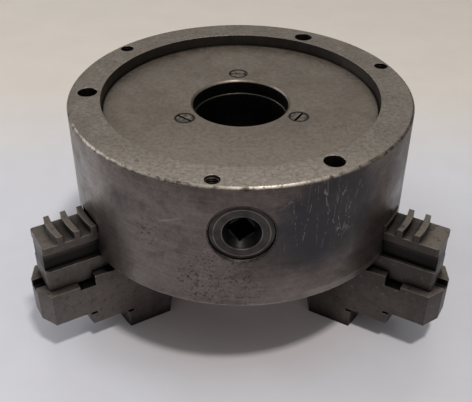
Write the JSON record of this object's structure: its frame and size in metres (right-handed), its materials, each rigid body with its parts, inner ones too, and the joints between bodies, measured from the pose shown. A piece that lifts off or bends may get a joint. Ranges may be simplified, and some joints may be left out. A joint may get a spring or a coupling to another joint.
{
  "type": "lathe chuck",
  "caption": "Three-jaw self-centring scroll lathe chuck with bevel pinions, two-piece stepped jaws, rear register and bolt circle.",
  "frame": {"origin": "centre of the rear register mouth, on the chuck axis, in the plane of the rear rim", "axes": "+Z along the chuck axis out of the rear register, towards the machine spindle; the first jaw slides along +Y"},
  "size_m": [0.2492, 0.2416, 0.1364],
  "materials": {
    "body_steel": "worn ground steel, brown-grey patina",
    "cover_steel": "satin ground steel with blotches",
    "jaw_steel": "dull hardened steel, olive-grey",
    "pinion_steel": "turned steel",
    "scroll_steel": "oiled machined steel",
    "screw_steel": "dark steel, worn slots"
  },
  "bodies": {
    "chuck": {"chuck_body": "body_steel", "back_cover": "cover_steel", "cover_screw_1": "screw_steel", "cover_screw_2": "screw_steel", "cover_screw_3": "screw_steel", "pinion_retainer_1": "screw_steel", "pinion_retainer_2": "screw_steel", "pinion_retainer_3": "screw_steel"},
    "scroll": {"scroll_plate": "scroll_steel"},
    "drive_pinion_1": {"pinion_1": "pinion_steel"},
    "drive_pinion_2": {"pinion_2": "pinion_steel"},
    "drive_pinion_3": {"pinion_3": "pinion_steel"},
    "jaw_1": {"master_jaw_1": "jaw_steel", "top_jaw_1": "jaw_steel", "jaw_screw_outer_1": "screw_steel", "jaw_screw_inner_1": "screw_steel"},
    "jaw_2": {"master_jaw_2": "jaw_steel", "top_jaw_2": "jaw_steel", "jaw_screw_outer_2": "screw_steel", "jaw_screw_inner_2": "screw_steel"},
    "jaw_3": {"master_jaw_3": "jaw_steel", "top_jaw_3": "jaw_steel", "jaw_screw_outer_3": "screw_steel", "jaw_screw_inner_3": "screw_steel"}
  },
  "joints": [
    {"name": "scroll_turn", "type": "hinge", "parent": "chuck", "child": "scroll", "pos_m": [0, 0, -0.05], "axis": [0, 0, 1], "range_deg": [-1728, 108]},
    {"name": "pinion_1_turn", "type": "hinge", "parent": "chuck", "child": "drive_pinion_1", "pos_m": [0.07794, 0.045, -0.029], "axis": [0.866, 0.5, 0], "range_deg": [-10369, 649]},
    {"name": "pinion_2_turn", "type": "hinge", "parent": "chuck", "child": "drive_pinion_2", "pos_m": [-0.07794, 0.045, -0.029], "axis": [-0.866, 0.5, 0], "range_deg": [-10369, 649]},
    {"name": "pinion_3_turn", "type": "hinge", "parent": "chuck", "child": "drive_pinion_3", "pos_m": [0, -0.09, -0.029], "axis": [0, -1, 0], "range_deg": [-10369, 649]},
    {"name": "jaw_1_slide", "type": "slide", "parent": "chuck", "child": "jaw_1", "axis": [0, 1, 0], "range_m": [-0.04801, 0.00301]},
    {"name": "jaw_2_slide", "type": "slide", "parent": "chuck", "child": "jaw_2", "axis": [-0.866, -0.5, 0], "range_m": [-0.04801, 0.00301]},
    {"name": "jaw_3_slide", "type": "slide", "parent": "chuck", "child": "jaw_3", "axis": [0.866, -0.5, 0], "range_m": [-0.04801, 0.00301]}
  ],
  "couplings": [
    {"joint": "pinion_1_turn", "follows": "scroll_turn", "ratio": 6},
    {"joint": "pinion_2_turn", "follows": "scroll_turn", "ratio": 6},
    {"joint": "pinion_3_turn", "follows": "scroll_turn", "ratio": 6},
    {"joint": "jaw_1_slide", "follows": "scroll_turn", "m_per_rad": 0.0015915},
    {"joint": "jaw_2_slide", "follows": "scroll_turn", "m_per_rad": 0.0015915},
    {"joint": "jaw_3_slide", "follows": "scroll_turn", "m_per_rad": 0.0015915}
  ]
}
